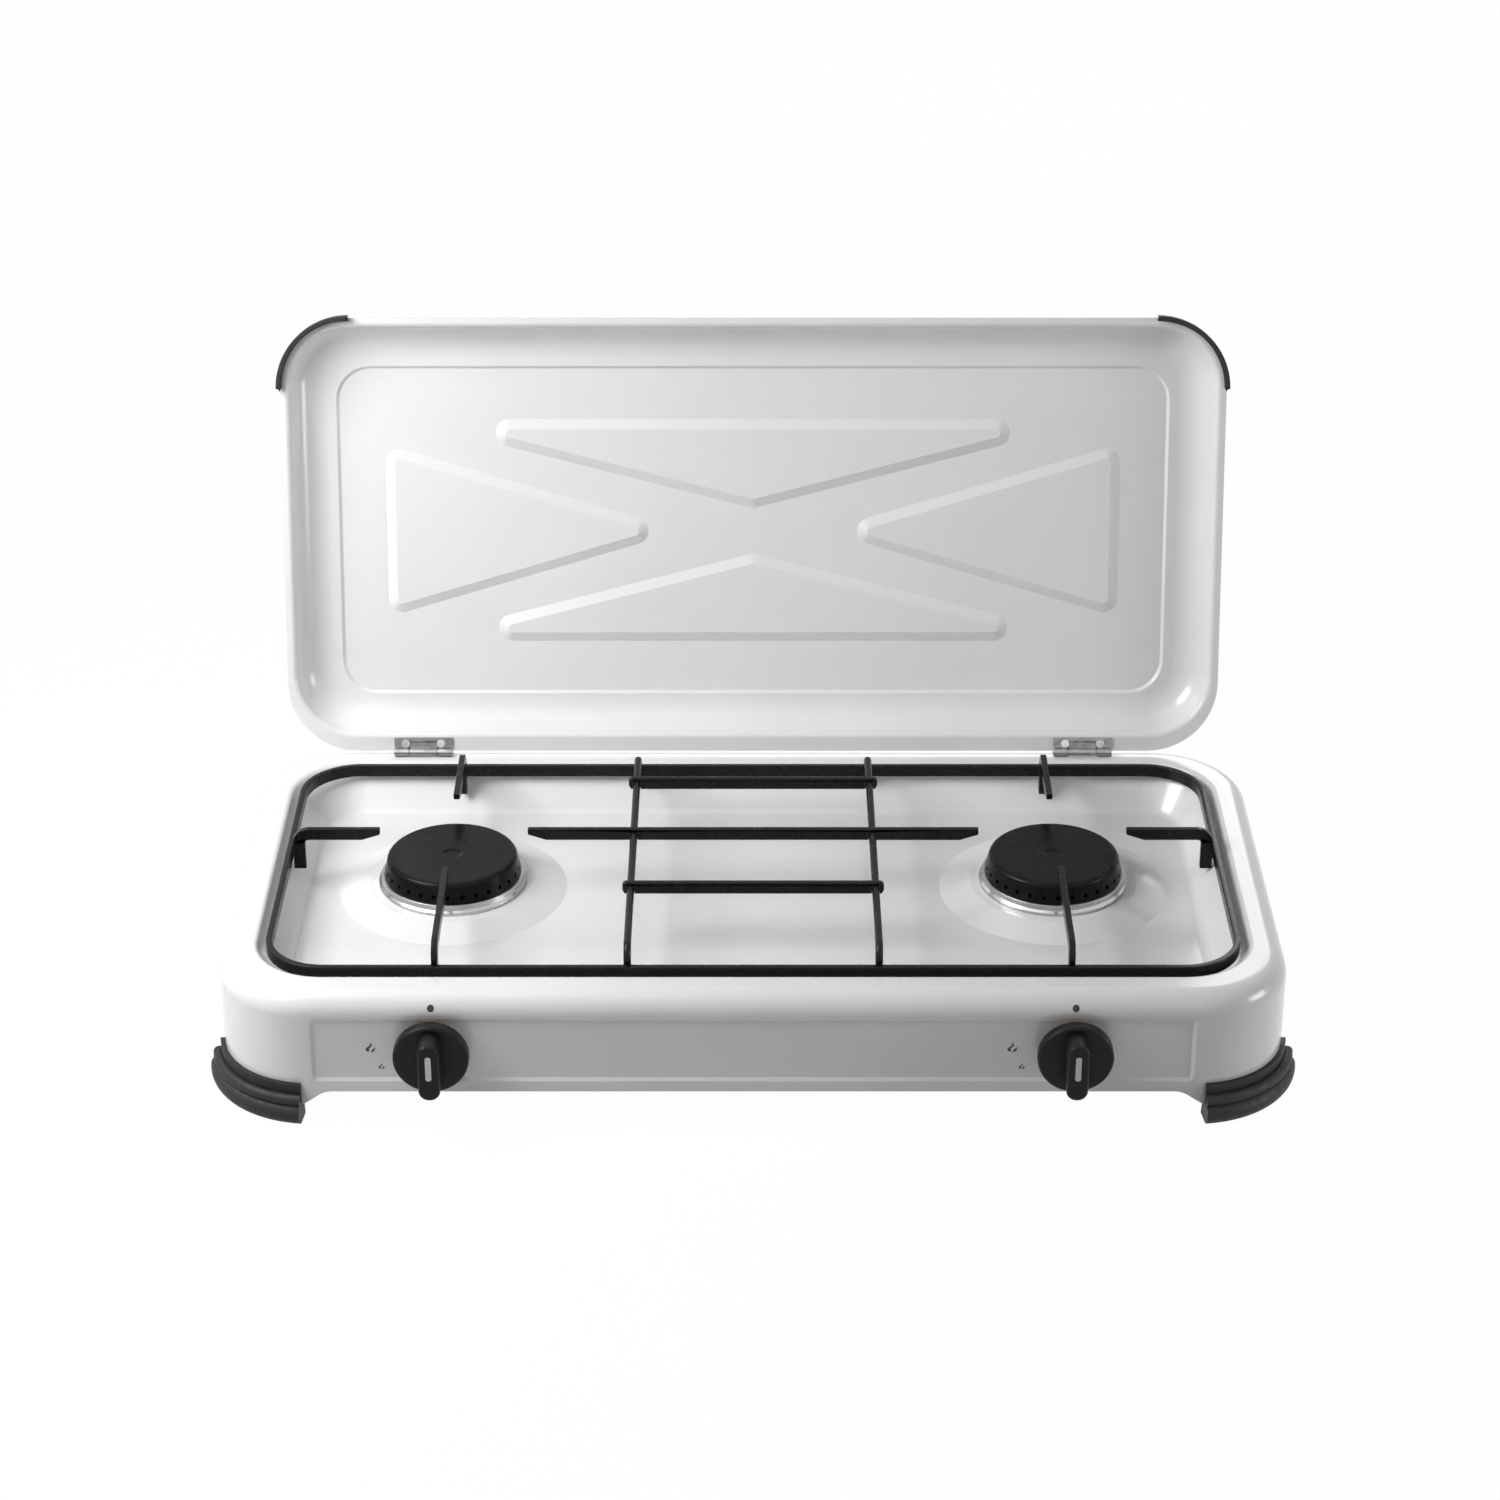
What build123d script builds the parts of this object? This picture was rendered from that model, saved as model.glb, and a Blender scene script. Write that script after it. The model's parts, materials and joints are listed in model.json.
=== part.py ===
"""Two-burner camping stove with a hinged lid, made as separate solids in one frame.

Millimetres, +Z up. The stove stands on z = 0, its knobs face -Y and its lid is open.
"""

import os
from math import cos, radians, sin, tan

from build123d import *

os.makedirs("parts", exist_ok=True)

# Body pressing
BODY_Y = -19.3  # body centre, so that the origin is under the middle of the open stove
BODY_WIDTH = 500.0
BODY_DEPTH = 250.0
BODY_CORNER_R = 45.0
RIM_Z = 66.0
RIM_EDGE_R = 10.0
SHEET = 0.8
SKIRT_Z = 15.5
FOOT_SKIRT_Z = 8.0
SKIRT_RAMP = 11.0

# Sunk hob in the top of the body
SIDE_RIM = 16.0
FRONT_RIM = 19.5
REAR_RIM = 17.0
RECESS_DEPTH = 21.5
RECESS_SLOPE = 52.0  # degrees up from level
RECESS_CORNER_R = 34.0
RECESS_FLOOR_R = 6.0
LIP_R = 3.0
CONE_R = 56.0
CONE_TOP_R = 41.0
CONE_RISE = 4.5

# Front panel pressed into the front wall
PANEL_SIDE = 46.0  # from the body's side to the panel
PANEL_HEIGHT = 34.0
PANEL_DEPTH = 1.0
PANEL_Z = 38.0
PANEL_CORNER_R = 3.0
PANEL_SLOPE = 60.0  # degrees from square

# Rubber corner feet
FOOT_LIP_Z = 20.0
FOOT_LIP = 2.2
FOOT_BEAD_Z = 15.2
FOOT_BEAD_OUT = 6.0
FOOT_GROOVE_Z = 10.2
FOOT_GROOVE_OUT = 4.8
FOOT_TOE_Z = 6.0
FOOT_TOE_OUT = 7.6
FOOT_SOLE_OUT = 2.6
FOOT_IN = 6.0
FOOT_CLIP = 2.4
FOOT_CLIP_RISE = 5.0
FOOT_TRIM = 6.0  # degrees that a foot stops short of each end of its corner

# Burners
BURNER_SIDE = 102.0  # from the body's side to the burner
BURNER_SETBACK = 15.0  # burner line behind the body centre
CAP_R = 33.8
CAP_TOP_R = 31.6
CAP_HEIGHT = 10.0
CAP_WALL = 1.3
CAP_EDGE_R = 2.5
CAP_DIMPLE_R = 5.0
CAP_DIMPLE = 0.8
CAP_DIMPLE_SLOPE = 1.6
PORT_R = 1.1
PORT_COUNT = 30
PORT_RISE = 3.2
RING_R = 36.5
RING_TOP_R = 34.9
RING_HEIGHT = 5.0
RING_BEAD = 1.5
RING_STEP = 0.9
NECK_R = 26.0
NECK_WALL = 4.0
NECK_RISE = 4.5
FLANGE_R = 34.0
FLANGE = 2.4
CUP_Z = 22.0
CUP_R = 24.5
CUP_WALL = 2.5
SPIGOT_WALL = 1.6
BURNER_FIT = 0.3
BURNER_SCREW_R = 1.5
BURNER_SCREW_HEAD_R = 2.8
BURNER_SCREW_HEAD = 1.8
BURNER_SCREW_RING_R = 30.5
BURNER_SCREW_COUNT = 3
BURNER_SCREW_TAIL = 2.0

# Mixing tubes and jets
JET_Z = 31.0
TUBE_R = 7.5
TUBE_WALL = 2.0
BELL_R = 9.5
BELL_LENGTH = 6.0
TUBE_INTO_CUP = 5.5
JET_THREAD_R = 3.0
JET_THREAD = 5.0
JET_HEAD_R = 4.5
JET_HEAD = 5.0
JET_TIP_R = 2.0
JET_TIP = 4.0
JET_IN_BELL = 2.0

# Taps and knobs
KNOB_Z = 39.0
KNOB_R = 17.5
KNOB_DISC = 5.5
KNOB_EDGE_R = 1.5
KNOB_STANDOFF = 6.0
GRIP_WIDTH = 10.0
GRIP_LENGTH = 29.0
GRIP_END_R = 4.8
GRIP_HEIGHT = 12.0
GRIP_EDGE_R = 1.5
POINTER_WIDTH = 2.7
POINTER_LENGTH = 12.7
POINTER_END_R = 1.1
POINTER_SINK = 0.6
POINTER_RISE = 2.8  # middle of the pointer above the knob's middle
STEM_R = 3.0
STEM_IN_KNOB = 9.0
STEM_IN_TAP = 17.0
STEM_END_GAP = 1.0
RUNNING_GAP = 0.05
TAP_R = 8.0
TAP_LENGTH = 22.0
TAP_NOSE_R = 5.0
TAP_NOSE = 4.0
TAP_NUT_ACROSS = 14.0
TAP_NUT = 2.5
SADDLE_WIDTH = 18.0
SADDLE_FRONT = 1.0
SADDLE_DEPTH = 19.0
JET_BOSS_R = 5.5
JET_BOSS_END = 28.0
CLAMP = 2.5
CLAMP_GAP = 0.6
CLAMP_SCREW_R = 1.6
CLAMP_SCREW_HEAD_R = 2.9
CLAMP_SCREW_HEAD = 2.0
CLAMP_SCREW_WALL = 0.8
CLAMP_SCREW_REACH = 8.0

# Gas pipe and inlet
PIPE_R = 4.0
PIPE_WALL = 1.0
PIPE_GAP = 1.0
PIPE_END = 22.0
PLUG_R = 5.0
PLUG = 4.0
PLUG_IN = 6.0
INLET_SIDE = 60.0  # from the body's side to the inlet
ELBOW_R = 6.5
ELBOW_REACH = 13.0
SOCKET = 7.0
INLET_R = 7.0
INLET_END_R = 6.58
INLET_SHOULDER_R = 9.0
INLET_INSIDE = 14.0
INLET_OUTSIDE = 18.0
INLET_BORE_R = 2.5
INLET_NUT_ACROSS = 19.0
INLET_NUT = 5.0

# Pan support
BAR = 3.0
BAR_HEIGHT = 6.0
FRAME_ABOVE_RIM = 2.0
FRAME_SIDE_GAP = 5.0
FRAME_FRONT_GAP = 4.5
FRAME_REAR_GAP = 6.0
FRAME_CORNER_R = 29.0
PAN_ABOVE_RIM = 12.0
FINGER_TIP_R = 37.5
SIDE_TIP_R = 35.0  # tips of the side and rear fingers
FINGER_BEND_R = 8.0
FINGER_INSIDE_R = 2.0
FINGER_TIP = 3.0
FINGER_CHAMFER = 9.0
LEG_GAP = 0.3
WIRE_R = 1.8
WIRE_FROM_BURNER = 89.5
WIRE_BELOW_PAN = 1.2
WIRE_BEND_R = 6.0
SHORT_BAR_OFFSET = 53.0
SHORT_BAR_OVERHANG = 4.0
SHORT_BAR_END_R = 2.0

# Lid
LID_SIDE_INSET = 11.0  # from the body's side to the lid's edge
LID_FRONT_INSET = 15.2
LID_CORNER_R = 35.5
LID_FLANGE = 4.0
LID_REAR_FLANGE = 8.5
LID_RIM_R = 2.4
LID_INSIDE = 17.5
LID_FLANK_R = 17.0
LID_OPEN = 104.0  # degrees from closed
LID_PANEL_MARGIN = 26.5
LID_PANEL_CORNER_R = 18.0
LID_STEP = 1.5
EMBOSS = 2.2
EMBOSS_SLOPE = 66.0  # degrees from upright
EMBOSS_CORNER_R = 7.0
EMBOSS_END_INSET = 51.0  # from the lid's side to an end triangle
EMBOSS_END_HALF = 45.0
EMBOSS_END_LENGTH = 152.0
EMBOSS_LONG_INSET = 54.0  # from the lid's front or rear to a long triangle
EMBOSS_LONG_HALF = 180.0
EMBOSS_LONG_DEPTH = 46.0
STRIP_OUT = 1.3
STRIP_IN = 1.3
STRIP_ABOVE = 1.0
STRIP_CLEAR = 0.25

# Hinges
HINGE_SIDE = 80.0  # from the body's side to the hinge's middle
HINGE_WIDTH = 30.0
HINGE_FLAT = 1.0  # from the pin back to where the rim starts to round off
KNUCKLE_R = 1.9
KNUCKLE_LENGTH = 14.0
KNUCKLE_LIFT = 0.4
KNUCKLE_GAP = 0.4
PIN_R = 1.0
LEAF = 1.0
LID_LEAF_LENGTH = 7.5
LID_SEAT = 2.25  # underside of the lid's flange above the pin, lid closed
LID_SETBACK = 0.3
BASE_LEAF_DROP = 16.0
RIVET_R = 1.2
RIVET_HEAD_R = 2.1
RIVET_HEAD = 0.9
RIVET_PITCH = 18.0
LID_RIVET_V = 4.4
BASE_RIVET_RISE = 5.0

# Places worked out from the sizes above
SIDES = {"left": -1, "right": 1}
FRONT_Y = BODY_Y - BODY_DEPTH / 2
REAR_Y = BODY_Y + BODY_DEPTH / 2
BURNER_X = BODY_WIDTH / 2 - BURNER_SIDE
INLET_X = BODY_WIDTH / 2 - INLET_SIDE
HINGE_PITCH = BODY_WIDTH - 2 * HINGE_SIDE
WIRE_X = BURNER_X - WIRE_FROM_BURNER
PANEL_WIDTH = BODY_WIDTH - 2 * PANEL_SIDE
BURNER_Y = BODY_Y + BURNER_SETBACK
RECESS_WIDTH = BODY_WIDTH - 2 * SIDE_RIM
RECESS_LENGTH = BODY_DEPTH - FRONT_RIM - REAR_RIM
RECESS_Y = BODY_Y + (FRONT_RIM - REAR_RIM) / 2
FLOOR_Z = RIM_Z - RECESS_DEPTH
SEAT_Z = FLOOR_Z + CONE_RISE
CAP_Z = SEAT_Z + RING_HEIGHT
PANEL_FACE_Y = FRONT_Y + PANEL_DEPTH
PANEL_BACK_Y = PANEL_FACE_Y + SHEET
KNOB_BACK_Y = PANEL_FACE_Y - KNOB_STANDOFF
KNOB_FACE_Y = KNOB_BACK_Y - KNOB_DISC
PIPE_Z = KNOB_Z - TAP_R - PIPE_R - PIPE_GAP
PIPE_Y = PANEL_BACK_Y + SADDLE_FRONT + SADDLE_DEPTH / 2
CLAMP_SCREW_PITCH = 2 * (PIPE_R + CLAMP_SCREW_R + CLAMP_SCREW_WALL)
PAN_Z = RIM_Z + PAN_ABOVE_RIM
FRAME_TOP = RIM_Z + FRAME_ABOVE_RIM
FRAME_X = RECESS_WIDTH / 2 - FRAME_SIDE_GAP
FRAME_FRONT = FRONT_Y + FRONT_RIM + FRAME_FRONT_GAP
FRAME_REAR = REAR_Y - REAR_RIM - FRAME_REAR_GAP
WIRE_Z = PAN_Z - WIRE_BELOW_PAN - WIRE_R
HINGE_Y = REAR_Y - RIM_EDGE_R - HINGE_FLAT
HINGE_Z = RIM_Z + KNUCKLE_LIFT + KNUCKLE_R
BASE_LEAF_Z = RIM_Z - RIM_EDGE_R - BASE_LEAF_DROP
BASE_RIVET_Z = BASE_LEAF_Z + BASE_RIVET_RISE
LID_WIDTH = BODY_WIDTH - 2 * LID_SIDE_INSET
LID_DEPTH = HINGE_Y - LID_SETBACK - FRONT_Y - LID_FRONT_INSET
LID_V = -LID_SETBACK - LID_DEPTH / 2
EMBOSS_END_X = LID_WIDTH / 2 - EMBOSS_END_INSET
EMBOSS_LONG_V = LID_DEPTH / 2 - EMBOSS_LONG_INSET
STRIP_BELOW = LID_SEAT + KNUCKLE_R + KNUCKLE_LIFT - STRIP_CLEAR

# Lid plane: X is the stove's X, Y runs back and Z up when the lid is shut, with the pin at its origin
LID_PLANE = Plane(
    origin=(0, HINGE_Y, HINGE_Z),
    x_dir=(1, 0, 0),
    z_dir=(0, sin(radians(LID_OPEN)), cos(radians(LID_OPEN))),
)
LID_UP = Axis(LID_PLANE.origin, LID_PLANE.z_dir)
FRONT_FACE = Plane(origin=(0, FRONT_Y, 0), x_dir=(1, 0, 0), z_dir=(0, -1, 0))
REAR_FACE = Plane(origin=(0, REAR_Y, 0), x_dir=(-1, 0, 0), z_dir=(0, 1, 0))
ON_TOP = (Align.CENTER, Align.CENTER, Align.MIN)
ARCH_RADII = [0, 0, SKIRT_RAMP, SKIRT_RAMP, 0, 0]


def save(builder, name):
    builder.part.label = name
    export_step(builder.part, f"parts/{name}.step")


def turned(points, plane, axis):
    """A solid turned about an axis from an outline of (radius, along) points."""
    with BuildPart() as piece:
        with BuildSketch(plane):
            with BuildLine():
                Polyline(*points, close=True)
            make_face()
        revolve(axis=axis)
    return piece.part


def turned_up(points, x, y):
    plane = Plane(origin=(x, y, 0), x_dir=(1, 0, 0), z_dir=(0, -1, 0))
    return turned(points, plane, Axis((x, y, 0), (0, 0, 1)))


def turned_back(points, x, z):
    return turned(points, Plane(origin=(x, 0, z)), Axis((x, 0, z), (0, 1, 0)))


def body_block(inset):
    """The body's outside, or its inside when set in by the sheet."""
    with BuildPart() as block:
        with BuildSketch(Plane.XY.offset(FOOT_SKIRT_Z)):
            with Locations((0, BODY_Y)):
                RectangleRounded(BODY_WIDTH - 2 * inset, BODY_DEPTH - 2 * inset, BODY_CORNER_R - inset)
        extrude(amount=RIM_Z - inset - FOOT_SKIRT_Z)
        fillet(block.edges().group_by(Axis.Z)[-1], RIM_EDGE_R - inset)
    return block.part


def recess_block(grow):
    """The space of the sunk hob, or that space with the sheet round it."""
    taper = 90 - RECESS_SLOPE
    out = grow / cos(radians(taper))
    with BuildPart() as block:
        with BuildSketch(Plane.XY.offset(RIM_Z)):
            with Locations((0, RECESS_Y)):
                RectangleRounded(RECESS_WIDTH + 2 * out, RECESS_LENGTH + 2 * out, RECESS_CORNER_R + out)
        extrude(amount=-RECESS_DEPTH - grow, taper=taper)
        fillet(block.edges().group_by(Axis.Z)[0], RECESS_FLOOR_R + grow)
        with Locations(*[(side * BURNER_X, BURNER_Y, FLOOR_Z - grow) for side in SIDES.values()]):
            Cone(CONE_R, CONE_TOP_R, CONE_RISE, align=ON_TOP, mode=Mode.SUBTRACT)
    return block.part


def skirt_arch(side_length):
    """Corners of the skirt's raised middle, between the two feet of one side."""
    half_width = side_length / 2 - BODY_CORNER_R + BODY_CORNER_R * sin(radians(FOOT_TRIM))
    return [
        (-half_width, 0),
        (-half_width, FOOT_SKIRT_Z),
        (-half_width + SKIRT_RAMP, SKIRT_Z),
        (half_width - SKIRT_RAMP, SKIRT_Z),
        (half_width, FOOT_SKIRT_Z),
        (half_width, 0),
    ]


# Body shell
with BuildPart() as underside:
    add(body_block(SHEET))
    add(recess_block(SHEET), mode=Mode.SUBTRACT)

with BuildPart() as body_shell:
    add(body_block(0))
    add(recess_block(0), mode=Mode.SUBTRACT)
    rim_face = body_shell.faces().filter_by(Axis.Z).sort_by(Axis.Z)[-1]
    fillet(rim_face.inner_wires()[0].edges(), LIP_R)
    add(underside.part, mode=Mode.SUBTRACT)
    panel_back = SHEET / cos(radians(PANEL_SLOPE))
    with BuildSketch(FRONT_FACE):
        with Locations((0, PANEL_Z)):
            RectangleRounded(
                PANEL_WIDTH + 2 * panel_back, PANEL_HEIGHT + 2 * panel_back, PANEL_CORNER_R + panel_back
            )
    extrude(amount=-PANEL_DEPTH - SHEET, taper=PANEL_SLOPE)
    with BuildSketch(FRONT_FACE):
        with Locations((0, PANEL_Z)):
            RectangleRounded(PANEL_WIDTH, PANEL_HEIGHT, PANEL_CORNER_R)
    extrude(amount=-PANEL_DEPTH, taper=PANEL_SLOPE, mode=Mode.SUBTRACT)
    with BuildSketch(Plane.XZ.offset(-BODY_Y)):
        with BuildLine():
            FilletPolyline(*skirt_arch(BODY_WIDTH), radius=ARCH_RADII, close=True)
        make_face()
    extrude(amount=BODY_DEPTH, both=True, mode=Mode.SUBTRACT)
    with BuildSketch(Plane(origin=(0, BODY_Y, 0), x_dir=(0, 1, 0), z_dir=(1, 0, 0))):
        with BuildLine():
            FilletPolyline(*skirt_arch(BODY_DEPTH), radius=ARCH_RADII, close=True)
        make_face()
    extrude(amount=BODY_WIDTH, both=True, mode=Mode.SUBTRACT)
    with BuildSketch(FRONT_FACE):
        with Locations(*[(side * BURNER_X, KNOB_Z) for side in SIDES.values()]):
            Circle(TAP_NOSE_R)
    extrude(amount=-PANEL_DEPTH - 2 * SHEET, mode=Mode.SUBTRACT)
    with BuildSketch(Plane.XY.offset(SEAT_Z)):
        for side in SIDES.values():
            with Locations((side * BURNER_X, BURNER_Y)):
                Circle(NECK_R)
                with PolarLocations(BURNER_SCREW_RING_R, BURNER_SCREW_COUNT):
                    Circle(BURNER_SCREW_R)
    extrude(amount=-2 * SHEET, mode=Mode.SUBTRACT)
    with BuildSketch(REAR_FACE):
        with Locations((-INLET_X, PIPE_Z)):
            Circle(INLET_R)
        for side in SIDES.values():
            with Locations((side * HINGE_PITCH / 2, BASE_RIVET_Z)):
                with GridLocations(RIVET_PITCH, 1, 2, 1):
                    Circle(RIVET_R)
    extrude(amount=-2 * SHEET, mode=Mode.SUBTRACT)
save(body_shell, "body_shell")


# Corner feet
def corner_foot(side, end):
    """A rubber foot that grips the skirt's edge round one corner."""
    skirt = BODY_CORNER_R
    clip = skirt - SHEET - FOOT_CLIP
    clip_top = FOOT_SKIRT_Z + FOOT_CLIP_RISE
    centre = (
        side * (BODY_WIDTH / 2 - BODY_CORNER_R),
        BODY_Y + end * (BODY_DEPTH / 2 - BODY_CORNER_R),
        0,
    )
    out_x = side * cos(radians(FOOT_TRIM))
    out_y = end * sin(radians(FOOT_TRIM))
    lip_foot = (skirt + FOOT_LIP, FOOT_BEAD_Z)
    bead = (skirt + FOOT_BEAD_OUT, (FOOT_BEAD_Z + FOOT_GROOVE_Z) / 2)
    groove = (skirt + FOOT_GROOVE_OUT, FOOT_GROOVE_Z)
    toe = (skirt + FOOT_TOE_OUT, FOOT_TOE_Z)
    sole = (skirt + FOOT_SOLE_OUT, 0)
    with BuildPart() as foot:
        with BuildSketch(Plane(origin=centre, x_dir=(out_x, out_y, 0), z_dir=(out_y, -out_x, 0))):
            with BuildLine():
                Polyline(
                    (skirt, FOOT_SKIRT_Z),
                    (skirt, FOOT_LIP_Z),
                    (skirt + FOOT_LIP, FOOT_LIP_Z),
                    lip_foot,
                )
                ThreePointArc(lip_foot, bead, groove)
                ThreePointArc(groove, toe, sole)
                Polyline(
                    sole,
                    (skirt - FOOT_IN, 0),
                    (clip, clip_top),
                    (skirt - SHEET, clip_top),
                    (skirt - SHEET, FOOT_SKIRT_Z),
                    (skirt, FOOT_SKIRT_Z),
                )
            make_face()
        revolve(axis=Axis(centre, (0, 0, side * end)), revolution_arc=90 - 2 * FOOT_TRIM)
    return foot


for end_name, end in {"front": -1, "rear": 1}.items():
    for side_name, side in SIDES.items():
        save(corner_foot(side, end), f"foot_{end_name}_{side_name}")


# Burners
def burner_ring(x):
    inner = NECK_R + BURNER_FIT
    with BuildPart() as ring:
        add(
            turned_up(
                [
                    (inner, SEAT_Z),
                    (RING_R, SEAT_Z),
                    (RING_R, SEAT_Z + RING_BEAD),
                    (RING_TOP_R + BURNER_FIT, SEAT_Z + RING_BEAD + RING_STEP),
                    (RING_TOP_R, CAP_Z),
                    (inner, CAP_Z),
                ],
                x,
                BURNER_Y,
            )
        )
        with BuildSketch(Plane.XY.offset(CAP_Z)):
            with Locations((x, BURNER_Y)):
                with PolarLocations(BURNER_SCREW_RING_R, BURNER_SCREW_COUNT):
                    Circle(BURNER_SCREW_R)
        extrude(amount=-RING_HEIGHT, mode=Mode.SUBTRACT)
        with BuildSketch(Plane.XY.offset(CAP_Z)):
            with Locations((x, BURNER_Y)):
                with PolarLocations(BURNER_SCREW_RING_R, BURNER_SCREW_COUNT):
                    Circle(BURNER_SCREW_HEAD_R)
        extrude(amount=-BURNER_SCREW_HEAD, mode=Mode.SUBTRACT)
    return ring


def burner_cup(x):
    """Casting under the hob: flange, neck through the hob and mixing cup."""
    under = SEAT_Z - SHEET
    neck_in = NECK_R - NECK_WALL
    with BuildPart() as cup:
        add(
            turned_up(
                [
                    (neck_in, SEAT_Z + NECK_RISE),
                    (NECK_R, SEAT_Z + NECK_RISE),
                    (NECK_R, under),
                    (FLANGE_R, under),
                    (FLANGE_R, under - FLANGE),
                    (CUP_R, under - FLANGE),
                    (CUP_R, CUP_Z),
                    (0, CUP_Z),
                    (0, CUP_Z + CUP_WALL),
                    (CUP_R - CUP_WALL, CUP_Z + CUP_WALL),
                    (CUP_R - CUP_WALL, under - FLANGE),
                    (neck_in, under),
                ],
                x,
                BURNER_Y,
            )
        )
        with BuildSketch(Plane(origin=(x, BURNER_Y, JET_Z), x_dir=(1, 0, 0), z_dir=(0, -1, 0))):
            Circle(TUBE_R)
        extrude(amount=CUP_R + CUP_WALL, mode=Mode.SUBTRACT)
        with BuildSketch(Plane.XY.offset(under)):
            with Locations((x, BURNER_Y)):
                with PolarLocations(BURNER_SCREW_RING_R, BURNER_SCREW_COUNT):
                    Circle(BURNER_SCREW_R)
        extrude(amount=-FLANGE, mode=Mode.SUBTRACT)
    return cup


def burner_cap(x):
    spigot = NECK_R - NECK_WALL - BURNER_FIT
    top = CAP_Z + CAP_HEIGHT
    roof = top - CAP_WALL - CAP_DIMPLE
    with BuildPart() as cap:
        with BuildSketch(Plane(origin=(x, BURNER_Y, 0), x_dir=(1, 0, 0), z_dir=(0, -1, 0))):
            with BuildLine():
                FilletPolyline(
                    (CAP_R, CAP_Z),
                    (CAP_TOP_R, top),
                    (CAP_DIMPLE_R, top),
                    (CAP_DIMPLE_R - CAP_DIMPLE_SLOPE, top - CAP_DIMPLE),
                    (0, top - CAP_DIMPLE),
                    (0, roof),
                    (spigot - SPIGOT_WALL, roof),
                    (spigot - SPIGOT_WALL, SEAT_Z),
                    (spigot, SEAT_Z),
                    (spigot, roof),
                    (CAP_TOP_R - CAP_WALL, roof),
                    (CAP_R - CAP_WALL, CAP_Z),
                    radius=[0, CAP_EDGE_R, CAP_DIMPLE, CAP_DIMPLE, 0, 0, 0, 0, 0, 0, 0, 0],
                    close=True,
                )
            make_face()
        revolve(axis=Axis((x, BURNER_Y, 0), (0, 0, 1)))
        middle = (x, BURNER_Y, CAP_Z + PORT_RISE)
        ports = []
        for index in range(PORT_COUNT):
            turn = radians((index + 0.5) * 360 / PORT_COUNT)
            facing = Plane(origin=middle, x_dir=(0, 0, 1), z_dir=(cos(turn), sin(turn), 0))
            ports.append(facing.offset(CAP_R - 2 * CAP_WALL))
        with BuildSketch(*ports):
            Circle(PORT_R)
        extrude(amount=3 * CAP_WALL, mode=Mode.SUBTRACT)
    return cap


def burner_screws(x):
    """Screws that hold the ring and the casting together through the hob."""
    with BuildPart() as screws:
        with BuildSketch(Plane.XY.offset(CAP_Z)):
            with Locations((x, BURNER_Y)):
                with PolarLocations(BURNER_SCREW_RING_R, BURNER_SCREW_COUNT):
                    Circle(BURNER_SCREW_HEAD_R)
        extrude(amount=-BURNER_SCREW_HEAD)
        with BuildSketch(Plane.XY.offset(CAP_Z - BURNER_SCREW_HEAD)):
            with Locations((x, BURNER_Y)):
                with PolarLocations(BURNER_SCREW_RING_R, BURNER_SCREW_COUNT):
                    Circle(BURNER_SCREW_R)
        extrude(amount=-(RING_HEIGHT - BURNER_SCREW_HEAD + SHEET + FLANGE + BURNER_SCREW_TAIL))
    return screws


def mixing_tube(x):
    mouth = PANEL_BACK_Y + JET_BOSS_END + JET_HEAD + JET_TIP - JET_IN_BELL
    end = BURNER_Y - CUP_R + TUBE_INTO_CUP
    bore = TUBE_R - TUBE_WALL
    with BuildPart() as tube:
        add(
            turned_back(
                [
                    (BELL_R - TUBE_WALL, mouth),
                    (BELL_R, mouth),
                    (BELL_R, mouth + BELL_LENGTH),
                    (TUBE_R, mouth + 2 * BELL_LENGTH),
                    (TUBE_R, end),
                    (bore, end),
                    (bore, mouth + 2 * BELL_LENGTH),
                    (BELL_R - TUBE_WALL, mouth + BELL_LENGTH),
                ],
                x,
                JET_Z,
            )
        )
    return tube


def jet(x):
    seat = PANEL_BACK_Y + JET_BOSS_END
    with BuildPart() as piece:
        add(
            turned_back(
                [
                    (0, seat - JET_THREAD),
                    (JET_THREAD_R, seat - JET_THREAD),
                    (JET_THREAD_R, seat),
                    (JET_HEAD_R, seat),
                    (JET_HEAD_R, seat + JET_HEAD),
                    (JET_TIP_R, seat + JET_HEAD),
                    (JET_TIP_R, seat + JET_HEAD + JET_TIP),
                    (0, seat + JET_HEAD + JET_TIP),
                ],
                x,
                JET_Z,
            )
        )
    return piece


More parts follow.
